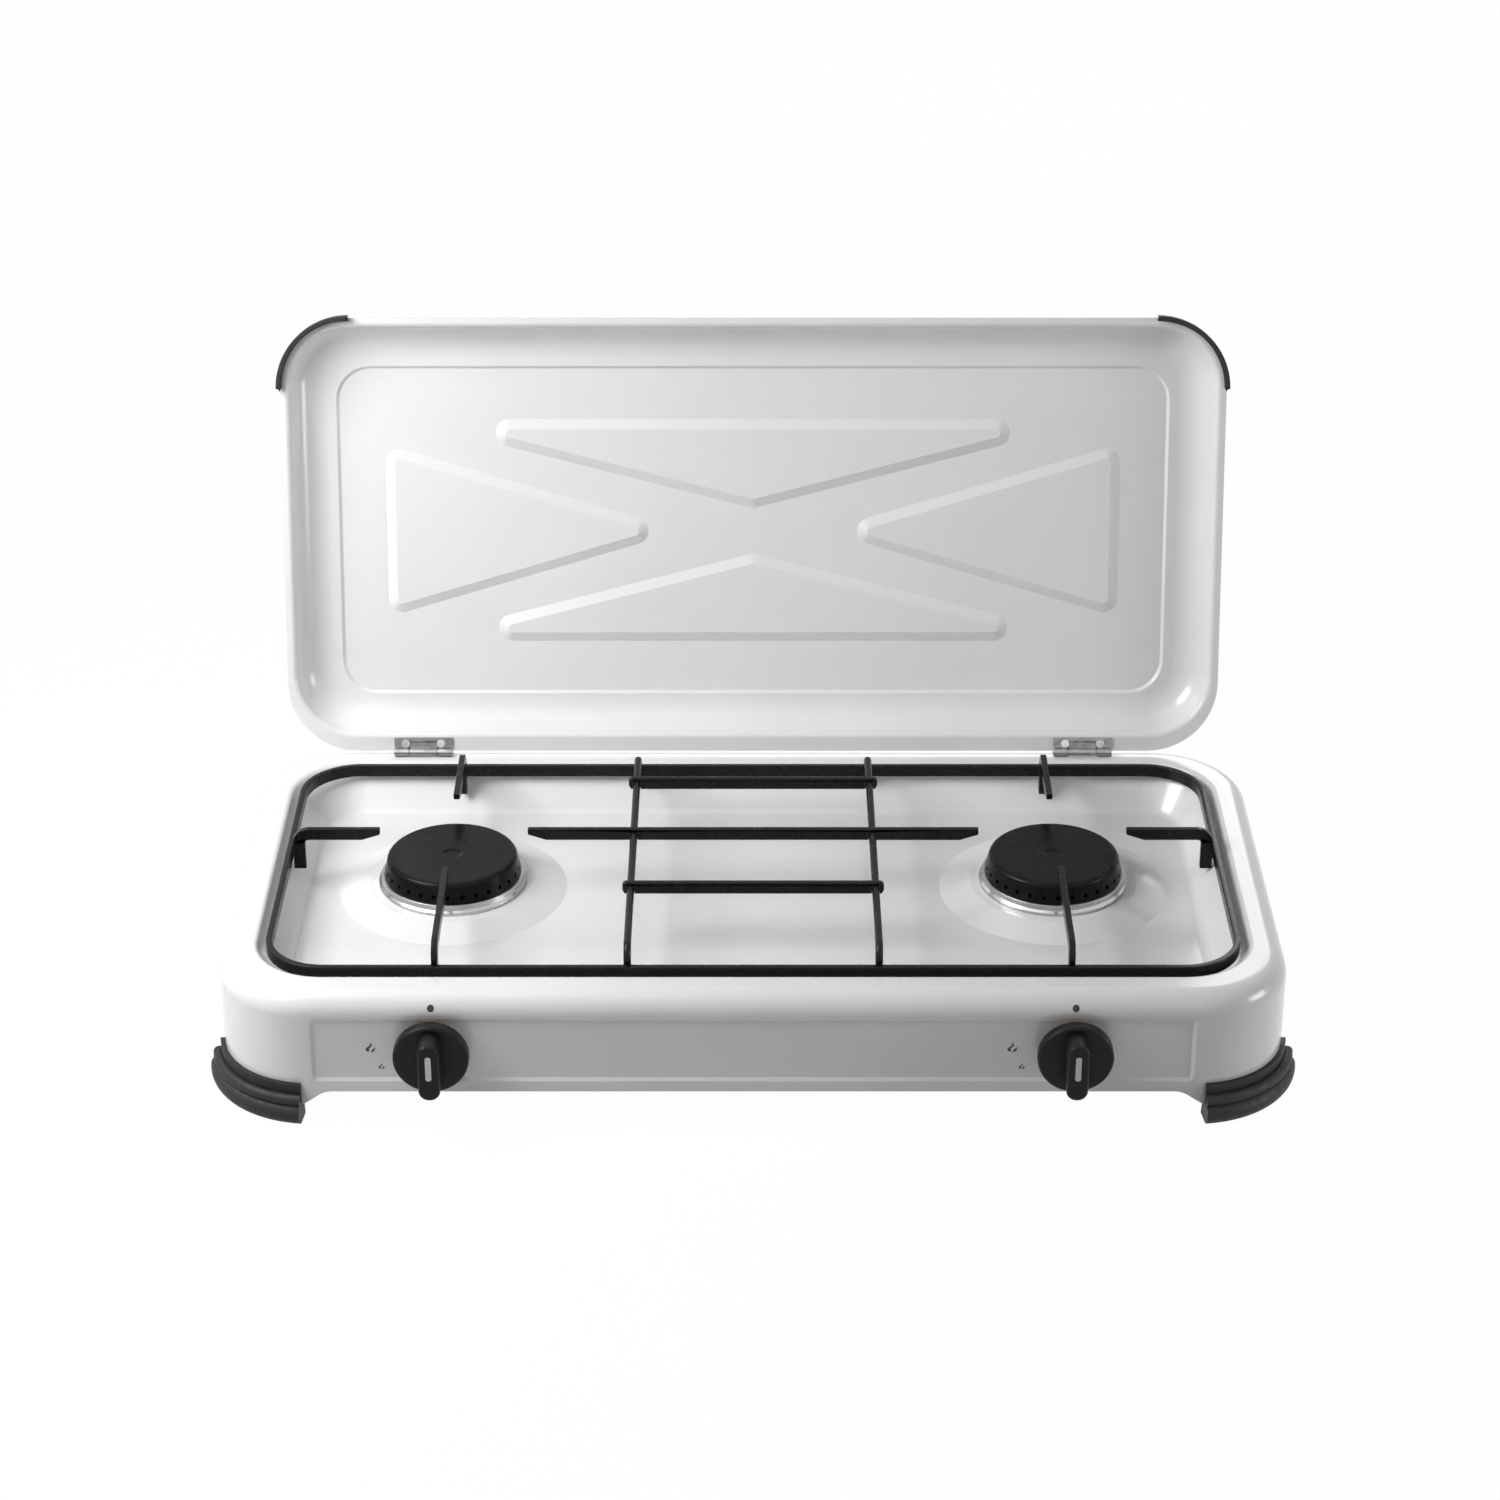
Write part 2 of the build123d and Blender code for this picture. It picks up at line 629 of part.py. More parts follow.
# Taps, each clamped on the gas pipe and held in the front panel by its nut
def tap_body(x):
    nose = PANEL_FACE_Y - TAP_NOSE
    end = PANEL_BACK_Y + TAP_LENGTH
    bore = STEM_R + RUNNING_GAP
    bore_end = PANEL_BACK_Y + STEM_IN_TAP + STEM_END_GAP
    boss_start = PANEL_BACK_Y + SADDLE_FRONT + SADDLE_DEPTH
    with BuildPart() as tap:
        with BuildSketch(Plane.XY.offset(PIPE_Z)):
            with Locations((x, PIPE_Y)):
                Rectangle(SADDLE_WIDTH, SADDLE_DEPTH)
        extrude(amount=KNOB_Z - PIPE_Z)
        with BuildSketch(Plane(origin=(x, boss_start, JET_Z), x_dir=(1, 0, 0), z_dir=(0, 1, 0))):
            Circle(JET_BOSS_R)
        extrude(amount=JET_BOSS_END - SADDLE_FRONT - SADDLE_DEPTH)
        with BuildSketch(Plane(origin=(x, boss_start, JET_Z), x_dir=(1, 0, 0), z_dir=(0, 1, 0))):
            with Locations((0, -(KNOB_Z - JET_Z) / 2)):
                Rectangle(2 * JET_BOSS_R, KNOB_Z - JET_Z)
        extrude(amount=TAP_LENGTH - SADDLE_FRONT - SADDLE_DEPTH)
        add(
            turned_back(
                [
                    (0, nose),
                    (TAP_NOSE_R, nose),
                    (TAP_NOSE_R, PANEL_BACK_Y),
                    (TAP_R, PANEL_BACK_Y),
                    (TAP_R, end),
                    (0, end),
                ],
                x,
                KNOB_Z,
            )
        )
        add(
            turned_back([(0, nose), (bore, nose), (bore, bore_end), (0, bore_end)], x, KNOB_Z),
            mode=Mode.SUBTRACT,
        )
        with BuildSketch(Plane.YZ.offset(x)):
            with Locations((PIPE_Y, PIPE_Z)):
                Circle(PIPE_R)
        extrude(amount=SADDLE_WIDTH, both=True, mode=Mode.SUBTRACT)
        boss_end = (x, PANEL_BACK_Y + JET_BOSS_END, JET_Z)
        with BuildSketch(Plane(origin=boss_end, x_dir=(1, 0, 0), z_dir=(0, 1, 0))):
            Circle(JET_THREAD_R)
        extrude(amount=-JET_THREAD, mode=Mode.SUBTRACT)
        with BuildSketch(Plane.XY.offset(PIPE_Z)):
            with Locations((x, PIPE_Y)):
                with GridLocations(1, CLAMP_SCREW_PITCH, 1, 2):
                    Circle(CLAMP_SCREW_R)
        extrude(amount=CLAMP_SCREW_REACH, mode=Mode.SUBTRACT)
    return tap


def tap_clamp(x):
    top = PIPE_Z - CLAMP_GAP
    bottom = PIPE_Z - PIPE_R - CLAMP
    with BuildPart() as clamp:
        with BuildSketch(Plane.XY.offset(bottom)):
            with Locations((x, PIPE_Y)):
                Rectangle(SADDLE_WIDTH, SADDLE_DEPTH)
                with GridLocations(1, CLAMP_SCREW_PITCH, 1, 2):
                    Circle(CLAMP_SCREW_R, mode=Mode.SUBTRACT)
        extrude(amount=top - bottom)
        with BuildSketch(Plane.YZ.offset(x)):
            with Locations((PIPE_Y, PIPE_Z)):
                Circle(PIPE_R)
        extrude(amount=SADDLE_WIDTH, both=True, mode=Mode.SUBTRACT)
    return clamp


def tap_stem(x):
    front_end = (x, KNOB_BACK_Y - STEM_IN_KNOB, KNOB_Z)
    with BuildPart() as stem:
        with BuildSketch(Plane(origin=front_end, x_dir=(1, 0, 0), z_dir=(0, 1, 0))):
            Circle(STEM_R)
        extrude(amount=STEM_IN_KNOB + PANEL_BACK_Y + STEM_IN_TAP - KNOB_BACK_Y)
    return stem


def tap_nut(x):
    with BuildPart() as nut:
        with BuildSketch(Plane(origin=(x, PANEL_FACE_Y, KNOB_Z), x_dir=(1, 0, 0), z_dir=(0, -1, 0))):
            RegularPolygon(TAP_NUT_ACROSS / 2, 6, major_radius=False)
            Circle(TAP_NOSE_R, mode=Mode.SUBTRACT)
        extrude(amount=TAP_NUT)
    return nut


def knob(x):
    with BuildPart() as piece:
        with BuildSketch(Plane(origin=(x, KNOB_BACK_Y, KNOB_Z), x_dir=(1, 0, 0), z_dir=(0, -1, 0))):
            Circle(KNOB_R)
        extrude(amount=KNOB_DISC)
        fillet(piece.edges().group_by(Axis.Y)[0], KNOB_EDGE_R)
        grip_face = Plane(origin=(x, KNOB_FACE_Y, KNOB_Z), x_dir=(1, 0, 0), z_dir=(0, -1, 0))
        with BuildSketch(grip_face):
            RectangleRounded(GRIP_WIDTH, GRIP_LENGTH, GRIP_END_R)
        extrude(amount=GRIP_HEIGHT)
        fillet(piece.edges().group_by(Axis.Y)[0], GRIP_EDGE_R)
        with BuildSketch(grip_face.offset(GRIP_HEIGHT)):
            with Locations((0, POINTER_RISE)):
                RectangleRounded(POINTER_WIDTH, POINTER_LENGTH, POINTER_END_R)
        extrude(amount=-POINTER_SINK, mode=Mode.SUBTRACT)
        with BuildSketch(Plane(origin=(x, KNOB_BACK_Y, KNOB_Z), x_dir=(1, 0, 0), z_dir=(0, -1, 0))):
            Circle(STEM_R)
        extrude(amount=STEM_IN_KNOB, mode=Mode.SUBTRACT)
    return piece


def knob_pointer(x):
    face = KNOB_FACE_Y - GRIP_HEIGHT
    with BuildPart() as pointer:
        with BuildSketch(Plane(origin=(x, face, KNOB_Z), x_dir=(1, 0, 0), z_dir=(0, -1, 0))):
            with Locations((0, POINTER_RISE)):
                RectangleRounded(POINTER_WIDTH, POINTER_LENGTH, POINTER_END_R)
        extrude(amount=-POINTER_SINK)
    return pointer


for side_name, side in SIDES.items():
    x = side * BURNER_X
    save(burner_ring(x), f"burner_ring_{side_name}")
    save(burner_cup(x), f"burner_cup_{side_name}")
    save(burner_cap(x), f"burner_cap_{side_name}")
    save(burner_screws(x), f"burner_screws_{side_name}")
    save(mixing_tube(x), f"mixing_tube_{side_name}")
    save(jet(x), f"jet_{side_name}")
    save(tap_body(x), f"tap_body_{side_name}")
    save(tap_clamp(x), f"tap_clamp_{side_name}")
    save(tap_stem(x), f"tap_stem_{side_name}")
    save(tap_nut(x), f"tap_nut_{side_name}")
    save(knob(x), f"knob_{side_name}")
    save(knob_pointer(x), f"knob_pointer_{side_name}")

with BuildPart() as clamp_screws:
    for side in SIDES.values():
        with BuildSketch(Plane.XY.offset(PIPE_Z - PIPE_R - CLAMP)):
            with Locations((side * BURNER_X, PIPE_Y)):
                with GridLocations(1, CLAMP_SCREW_PITCH, 1, 2):
                    Circle(CLAMP_SCREW_R)
        extrude(amount=PIPE_R + CLAMP + CLAMP_SCREW_REACH)
        with BuildSketch(Plane.XY.offset(PIPE_Z - PIPE_R - CLAMP)):
            with Locations((side * BURNER_X, PIPE_Y)):
                with GridLocations(1, CLAMP_SCREW_PITCH, 1, 2):
                    Circle(CLAMP_SCREW_HEAD_R)
        extrude(amount=-CLAMP_SCREW_HEAD)
save(clamp_screws, "clamp_screws")


# Gas pipe from the inlet in the rear wall to the two taps
def pipe(start, direction, length):
    with BuildPart() as tube:
        with BuildSketch(Plane(origin=start, z_dir=direction)):
            Circle(PIPE_R)
            Circle(PIPE_R - PIPE_WALL, mode=Mode.SUBTRACT)
        extrude(amount=length)
    return tube


PIPE_START_X = -BURNER_X - PIPE_END
PIPE_STOP_X = INLET_X - ELBOW_REACH + SOCKET
FEED_START_Y = PIPE_Y + ELBOW_REACH - SOCKET
FEED_STOP_Y = REAR_Y - SHEET - INLET_INSIDE + SOCKET
save(pipe((PIPE_START_X, PIPE_Y, PIPE_Z), (1, 0, 0), PIPE_STOP_X - PIPE_START_X), "manifold_pipe")
save(pipe((INLET_X, FEED_START_Y, PIPE_Z), (0, 1, 0), FEED_STOP_Y - FEED_START_Y), "feed_pipe")

with BuildPart() as pipe_plug:
    with BuildSketch(Plane(origin=(PIPE_START_X, PIPE_Y, PIPE_Z), z_dir=(1, 0, 0))):
        Circle(PLUG_R)
    extrude(amount=-PLUG)
    with BuildSketch(Plane(origin=(PIPE_START_X, PIPE_Y, PIPE_Z), z_dir=(1, 0, 0))):
        Circle(PIPE_R - PIPE_WALL)
    extrude(amount=PLUG_IN)
save(pipe_plug, "pipe_plug")

with BuildPart() as inlet_elbow:
    elbow_arms = [
        Plane(origin=(INLET_X, PIPE_Y, PIPE_Z), z_dir=(-1, 0, 0)),
        Plane(origin=(INLET_X, PIPE_Y, PIPE_Z), z_dir=(0, 1, 0)),
    ]
    with Locations((INLET_X, PIPE_Y, PIPE_Z)):
        Sphere(ELBOW_R)
    for arm in elbow_arms:
        with BuildSketch(arm):
            Circle(ELBOW_R)
        extrude(amount=ELBOW_REACH)
    for arm in elbow_arms:
        with BuildSketch(arm.offset(ELBOW_REACH)):
            Circle(PIPE_R)
        extrude(amount=-SOCKET, mode=Mode.SUBTRACT)
        with BuildSketch(arm):
            Circle(PIPE_R - PIPE_WALL)
        extrude(amount=ELBOW_REACH, mode=Mode.SUBTRACT)
save(inlet_elbow, "inlet_elbow")

with BuildPart() as gas_inlet:
    add(
        turned_back(
            [
                (PIPE_R, REAR_Y - SHEET - INLET_INSIDE),
                (INLET_SHOULDER_R, REAR_Y - SHEET - INLET_INSIDE),
                (INLET_SHOULDER_R, REAR_Y - SHEET),
                (INLET_R, REAR_Y - SHEET),
                (INLET_R, REAR_Y + INLET_NUT),
                (INLET_END_R, REAR_Y + INLET_NUT),
                (INLET_END_R, REAR_Y + INLET_OUTSIDE),
                (INLET_BORE_R, REAR_Y + INLET_OUTSIDE),
                (INLET_BORE_R, FEED_STOP_Y),
                (PIPE_R, FEED_STOP_Y),
            ],
            INLET_X,
            PIPE_Z,
        )
    )
save(gas_inlet, "gas_inlet")

with BuildPart() as inlet_nut:
    with BuildSketch(Plane(origin=(INLET_X, REAR_Y, PIPE_Z), x_dir=(1, 0, 0), z_dir=(0, 1, 0))):
        RegularPolygon(INLET_NUT_ACROSS / 2, 6, major_radius=False)
        Circle(INLET_R, mode=Mode.SUBTRACT)
    extrude(amount=INLET_NUT)
save(inlet_nut, "inlet_nut")


# Pan support
def wall_z(inset):
    """Height of the hob's sloped wall this far in from its lip."""
    return RIM_Z - inset * tan(radians(RECESS_SLOPE))


def finger(plane, outer, tip, leg_z):
    """A flat bar that runs from a leg at the frame to its tip over a burner."""
    out = 1 if outer > tip else -1
    inner = outer - out * BAR_HEIGHT
    with BuildPart() as bar:
        with BuildSketch(plane):
            with BuildLine():
                FilletPolyline(
                    (outer, leg_z),
                    (outer, PAN_Z),
                    (tip, PAN_Z),
                    (tip, PAN_Z - FINGER_TIP),
                    (tip + out * FINGER_CHAMFER, PAN_Z - BAR_HEIGHT),
                    (inner, PAN_Z - BAR_HEIGHT),
                    (inner, leg_z),
                    radius=[0, FINGER_BEND_R, 0, 0, 0, FINGER_INSIDE_R, 0],
                    close=True,
                )
            make_face()
        extrude(amount=BAR / 2, both=True)
    return bar


with BuildPart() as pan_frame:
    frame_length = FRAME_REAR - FRAME_FRONT
    with BuildSketch(Plane.XY.offset(FRAME_TOP)):
        with Locations((0, (FRAME_FRONT + FRAME_REAR) / 2)):
            RectangleRounded(2 * FRAME_X, frame_length, FRAME_CORNER_R)
            RectangleRounded(
                2 * FRAME_X - 2 * BAR, frame_length - 2 * BAR, FRAME_CORNER_R - BAR, mode=Mode.SUBTRACT
            )
    extrude(amount=-BAR_HEIGHT)
save(pan_frame, "pan_frame")

FRAME_IN_X = FRAME_X - BAR
FRAME_IN_FRONT = FRAME_FRONT + BAR
FRAME_IN_REAR = FRAME_REAR - BAR
SIDE_LEG_Z = wall_z(FRAME_SIDE_GAP + BAR) + LEG_GAP
FRONT_LEG_Z = wall_z(FRAME_FRONT_GAP + BAR) + LEG_GAP
REAR_LEG_Z = wall_z(FRAME_REAR_GAP + BAR) + LEG_GAP

for side_name, side in SIDES.items():
    x = side * BURNER_X
    across = Plane(origin=(0, BURNER_Y, 0), x_dir=(1, 0, 0), z_dir=(0, -1, 0))
    along = Plane(origin=(x, 0, 0), x_dir=(0, 1, 0), z_dir=(1, 0, 0))
    side_tip = side * (BURNER_X + SIDE_TIP_R)
    save(finger(across, side * FRAME_IN_X, side_tip, SIDE_LEG_Z), f"pan_finger_side_{side_name}")
    save(
        finger(along, FRAME_IN_FRONT, BURNER_Y - FINGER_TIP_R, FRONT_LEG_Z),
        f"pan_finger_front_{side_name}",
    )
    save(
        finger(along, FRAME_IN_REAR, BURNER_Y + SIDE_TIP_R, REAR_LEG_Z),
        f"pan_finger_rear_{side_name}",
    )


def cross_wire(x):
    """A round wire from the front of the frame to the rear, bent down at both ends."""
    front = FRAME_IN_FRONT + WIRE_R
    rear = FRAME_IN_REAR - WIRE_R
    low = FRAME_TOP - BAR_HEIGHT
    with BuildPart() as wire:
        with BuildLine() as route:
            FilletPolyline(
                (x, front, low),
                (x, front, WIRE_Z),
                (x, rear, WIRE_Z),
                (x, rear, low),
                radius=WIRE_BEND_R,
            )
        with BuildSketch(Plane(origin=(x, front, low), z_dir=(0, 0, 1))):
            Circle(WIRE_R)
        sweep(path=route.wires()[0])
    return wire


for side_name, side in SIDES.items():
    save(cross_wire(side * WIRE_X), f"pan_wire_{side_name}")


def cross_bar(y, half_length, tip, chamfer, corner):
    """A flat bar from left to right, notched over the two wires."""
    with BuildPart() as bar:
        with BuildSketch(Plane(origin=(0, y, 0), x_dir=(1, 0, 0), z_dir=(0, -1, 0))):
            with BuildLine():
                FilletPolyline(
                    (-half_length, PAN_Z),
                    (half_length, PAN_Z),
                    (half_length, PAN_Z - tip),
                    (half_length - chamfer, PAN_Z - BAR_HEIGHT),
                    (-half_length + chamfer, PAN_Z - BAR_HEIGHT),
                    (-half_length, PAN_Z - tip),
                    radius=[corner, corner, 0, 0, 0, 0],
                    close=True,
                )
            make_face()
            with Locations(*[(side * WIRE_X, WIRE_Z) for side in SIDES.values()]):
                Circle(WIRE_R, mode=Mode.SUBTRACT)
                Rectangle(2 * WIRE_R, BAR_HEIGHT, align=(Align.CENTER, Align.MAX), mode=Mode.SUBTRACT)
        extrude(amount=BAR / 2, both=True)
    return bar


SHORT_BAR_HALF = WIRE_X + SHORT_BAR_OVERHANG
save(cross_bar(BURNER_Y, BURNER_X - FINGER_TIP_R, FINGER_TIP, FINGER_CHAMFER, 0), "pan_bar_centre")
for end_name, end in {"front": -1, "rear": 1}.items():
    y = BURNER_Y + end * SHORT_BAR_OFFSET
    save(
        cross_bar(y, SHORT_BAR_HALF, BAR_HEIGHT - SHORT_BAR_END_R, SHORT_BAR_END_R / 2, SHORT_BAR_END_R),
        f"pan_bar_{end_name}",
    )


# Lid
def emboss_triangles():
    """The four triangles pressed into the lid, about the panel's middle."""
    for side in SIDES.values():
        yield [
            (side * EMBOSS_END_X, EMBOSS_END_HALF),
            (side * EMBOSS_END_X, -EMBOSS_END_HALF),
            (side * (EMBOSS_END_X - EMBOSS_END_LENGTH), 0),
        ]
        yield [
            (-EMBOSS_LONG_HALF, side * EMBOSS_LONG_V),
            (EMBOSS_LONG_HALF, side * EMBOSS_LONG_V),
            (0, side * (EMBOSS_LONG_V - EMBOSS_LONG_DEPTH)),
        ]


def lid_block(grow):
    """The hollow of the lid, or the same with the sheet round it."""
    inset = LID_FLANGE + SHEET - grow
    rear_inset = LID_REAR_FLANGE + SHEET - grow
    middle = LID_V + (inset - rear_inset) / 2
    roof = LID_SEAT + LID_INSIDE + grow
    with BuildPart() as block:
        with BuildSketch(LID_PLANE.offset(LID_SEAT)):
            with Locations((0, middle)):
                RectangleRounded(
                    LID_WIDTH - 2 * inset,
                    LID_DEPTH - inset - rear_inset,
                    LID_CORNER_R - inset,
                )
        extrude(amount=LID_INSIDE + grow)
        fillet(block.edges().group_by(LID_UP)[-1], LID_FLANK_R - SHEET + grow)
        with BuildSketch(LID_PLANE.offset(roof)):
            with Locations((0, LID_V)):
                RectangleRounded(
                    LID_WIDTH - 2 * LID_PANEL_MARGIN + grow,
                    LID_DEPTH - 2 * LID_PANEL_MARGIN + grow,
                    LID_PANEL_CORNER_R,
                )
        extrude(amount=LID_STEP, taper=45)
        for triangle in emboss_triangles():
            with BuildSketch(LID_PLANE.offset(roof + LID_STEP)):
                with BuildLine():
                    corners = [(u, LID_V + v) for u, v in triangle]
                    FilletPolyline(*corners, radius=EMBOSS_CORNER_R, close=True)
                make_face()
            extrude(amount=-EMBOSS, taper=EMBOSS_SLOPE, mode=Mode.SUBTRACT)
    return block.part


def hinge_marks(v):
    """Places of the lid's hinge rivets in the lid plane."""
    steps = SIDES.values()
    return [(side * HINGE_PITCH / 2 + step * RIVET_PITCH / 2, v) for side in steps for step in steps]


with BuildPart() as lid_shell:
    with BuildSketch(LID_PLANE.offset(LID_SEAT)):
        with Locations((0, LID_V)):
            RectangleRounded(LID_WIDTH, LID_DEPTH, LID_CORNER_R)
    extrude(amount=SHEET)
    add(lid_block(SHEET))
    flange_top = lid_shell.faces().filter_by(LID_UP).sort_by(LID_UP)[1]
    fillet(flange_top.inner_wires().edges(), LID_RIM_R - SHEET)
    add(lid_block(0), mode=Mode.SUBTRACT)
    flange_seat = lid_shell.faces().filter_by(LID_UP).sort_by(LID_UP)[0]
    fillet(flange_seat.inner_wires().edges(), LID_RIM_R)
    with BuildSketch(LID_PLANE.offset(LID_SEAT)):
        with Locations(*hinge_marks(-LID_RIVET_V)):
            Circle(RIVET_R)
    extrude(amount=SHEET, mode=Mode.SUBTRACT)
save(lid_shell, "lid_shell")


def lid_strip(side):
    """A rubber strip round one front corner of the lid's flange."""
    edge = LID_CORNER_R
    centre = LID_PLANE.from_local_coords(
        Vector(side * (LID_WIDTH / 2 - LID_CORNER_R), LID_V - LID_DEPTH / 2 + LID_CORNER_R, 0)
    )
    out = LID_PLANE.x_dir * side
    with BuildPart() as strip:
        with BuildSketch(Plane(origin=centre, x_dir=out, z_dir=out.cross(LID_PLANE.z_dir))):
            with BuildLine():
                Polyline(
                    (edge, LID_SEAT),
                    (edge, LID_SEAT + SHEET),
                    (edge - STRIP_IN, LID_SEAT + SHEET),
                    (edge - STRIP_IN, LID_SEAT + SHEET + STRIP_ABOVE),
                    (edge + STRIP_OUT, LID_SEAT + SHEET + STRIP_ABOVE),
                    (edge + STRIP_OUT, LID_SEAT - STRIP_BELOW),
                    (edge - STRIP_IN, LID_SEAT - STRIP_BELOW),
                    (edge - STRIP_IN, LID_SEAT),
                    close=True,
                )
            make_face()
        revolve(axis=Axis(centre, LID_PLANE.z_dir * -side), revolution_arc=90)
    return strip


for side_name, side in SIDES.items():
    save(lid_strip(side), f"lid_strip_{side_name}")


# Hinges
def lid_leaf(x):
    """The leaf under the lid's flange, with the middle knuckle."""
    clear = KNUCKLE_R + KNUCKLE_GAP
    with BuildPart() as leaf:
        with BuildSketch(LID_PLANE.offset(LID_SEAT)):
            with Locations((x, -(LID_LEAF_LENGTH + clear) / 2)):
                Rectangle(HINGE_WIDTH, LID_LEAF_LENGTH - clear)
            with Locations((x, 0)):
                Rectangle(KNUCKLE_LENGTH, LID_LEAF_LENGTH, align=(Align.CENTER, Align.MAX))
            with Locations((x, -LID_RIVET_V)):
                with GridLocations(RIVET_PITCH, 1, 2, 1):
                    Circle(RIVET_R, mode=Mode.SUBTRACT)
        extrude(amount=-LEAF)
        with BuildSketch(Plane(origin=(x, HINGE_Y, HINGE_Z), z_dir=(1, 0, 0))):
            Circle(KNUCKLE_R)
        extrude(amount=KNUCKLE_LENGTH / 2, both=True)
        with BuildSketch(Plane(origin=(x, HINGE_Y, HINGE_Z), z_dir=(1, 0, 0))):
            Circle(PIN_R + RUNNING_GAP)
        extrude(amount=KNUCKLE_LENGTH, both=True, mode=Mode.SUBTRACT)
    return leaf


def base_leaf(x):
    """The leaf that bends over the body's rear edge, with the two outer knuckles."""
    bend = REAR_Y - RIM_EDGE_R
    low = BASE_LEAF_Z
    inner_half = KNUCKLE_LENGTH / 2 + KNUCKLE_GAP
    outer_half = HINGE_WIDTH / 2
    section = Plane(origin=(x, 0, 0), x_dir=(0, 1, 0), z_dir=(1, 0, 0))
    with BuildPart() as leaf:
        with BuildSketch(section):
            with BuildLine():
                Line((HINGE_Y, RIM_Z), (bend, RIM_Z))
                CenterArc((bend, RIM_Z - RIM_EDGE_R), RIM_EDGE_R, 90, -90)
                Line((REAR_Y, RIM_Z - RIM_EDGE_R), (REAR_Y, low))
                Line((REAR_Y, low), (REAR_Y + LEAF, low))
                Line((REAR_Y + LEAF, low), (REAR_Y + LEAF, RIM_Z - RIM_EDGE_R))
                CenterArc((bend, RIM_Z - RIM_EDGE_R), RIM_EDGE_R + LEAF, 0, 90)
                Line((bend, RIM_Z + LEAF), (HINGE_Y, RIM_Z + LEAF))
                Line((HINGE_Y, RIM_Z + LEAF), (HINGE_Y, RIM_Z))
            make_face()
        extrude(amount=outer_half, both=True)
        with BuildSketch(section):
            with Locations((HINGE_Y, RIM_Z)):
                Rectangle(2 * (KNUCKLE_R + KNUCKLE_GAP), 4 * KNUCKLE_R)
        extrude(amount=inner_half, both=True, mode=Mode.SUBTRACT)
        for side in SIDES.values():
            with BuildSketch(Plane(origin=(x + side * inner_half, HINGE_Y, HINGE_Z), z_dir=(side, 0, 0))):
                Circle(KNUCKLE_R)
            extrude(amount=outer_half - inner_half)
        with BuildSketch(Plane(origin=(x, HINGE_Y, HINGE_Z), z_dir=(1, 0, 0))):
            Circle(PIN_R)
        extrude(amount=HINGE_WIDTH, both=True, mode=Mode.SUBTRACT)
        with BuildSketch(REAR_FACE):
            with Locations((-x, BASE_RIVET_Z)):
                with GridLocations(RIVET_PITCH, 1, 2, 1):
                    Circle(RIVET_R)
        extrude(amount=2 * LEAF, mode=Mode.SUBTRACT)
    return leaf


def hinge_pin(x):
    with BuildPart() as pin:
        with BuildSketch(Plane(origin=(x, HINGE_Y, HINGE_Z), z_dir=(1, 0, 0))):
            Circle(PIN_R)
        extrude(amount=HINGE_WIDTH / 2, both=True)
    return pin


def rivets(plane, places, grip):
    """Rivets with a head on each side of a stack that runs down from the plane."""
    with BuildPart() as group:
        for level, radius, length in (
            (RIVET_HEAD, RIVET_HEAD_R, RIVET_HEAD),
            (0, RIVET_R, grip),
            (-grip, RIVET_HEAD_R, RIVET_HEAD),
        ):
            with BuildSketch(plane.offset(level)):
                with Locations(*places):
                    Circle(radius)
            extrude(amount=-length)
    return group


for side_name, side in SIDES.items():
    x = side * HINGE_PITCH / 2
    save(lid_leaf(x), f"hinge_lid_leaf_{side_name}")
    save(base_leaf(x), f"hinge_base_leaf_{side_name}")
    save(hinge_pin(x), f"hinge_pin_{side_name}")

RIVET_GRIP = SHEET + LEAF
save(rivets(LID_PLANE.offset(LID_SEAT + SHEET), hinge_marks(-LID_RIVET_V), RIVET_GRIP), "lid_hinge_rivets")
save(rivets(REAR_FACE.offset(LEAF), hinge_marks(BASE_RIVET_Z), RIVET_GRIP), "base_hinge_rivets")
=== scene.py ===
"""Looks of a two-burner camping stove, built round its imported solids."""

import itertools
import json
import math

import bmesh
import bpy
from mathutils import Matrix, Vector, noise
from mathutils.bvhtree import BVHTree


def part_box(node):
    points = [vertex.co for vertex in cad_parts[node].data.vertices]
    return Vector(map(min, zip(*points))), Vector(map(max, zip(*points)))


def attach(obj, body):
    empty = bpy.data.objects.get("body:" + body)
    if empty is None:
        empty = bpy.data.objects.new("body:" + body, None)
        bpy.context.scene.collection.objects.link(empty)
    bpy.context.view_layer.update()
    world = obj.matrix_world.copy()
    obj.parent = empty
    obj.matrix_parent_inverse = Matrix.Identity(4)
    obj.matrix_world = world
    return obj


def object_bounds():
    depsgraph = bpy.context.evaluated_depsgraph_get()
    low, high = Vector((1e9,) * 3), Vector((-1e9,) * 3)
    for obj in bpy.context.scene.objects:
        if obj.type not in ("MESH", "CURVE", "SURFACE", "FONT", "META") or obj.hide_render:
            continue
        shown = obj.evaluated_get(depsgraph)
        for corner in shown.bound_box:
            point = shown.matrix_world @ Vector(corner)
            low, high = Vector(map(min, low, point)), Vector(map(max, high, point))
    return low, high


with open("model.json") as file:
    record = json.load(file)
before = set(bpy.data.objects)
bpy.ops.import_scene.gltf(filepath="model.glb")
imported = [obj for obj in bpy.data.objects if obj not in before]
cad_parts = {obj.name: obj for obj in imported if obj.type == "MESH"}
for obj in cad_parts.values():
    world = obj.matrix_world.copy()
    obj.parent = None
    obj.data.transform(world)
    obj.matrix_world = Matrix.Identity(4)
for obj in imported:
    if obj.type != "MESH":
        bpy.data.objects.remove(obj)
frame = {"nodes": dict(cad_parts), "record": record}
NODES = frame["nodes"]
CAD_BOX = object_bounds()
MM = 0.001
SIDES = {"left": -1, "right": 1}

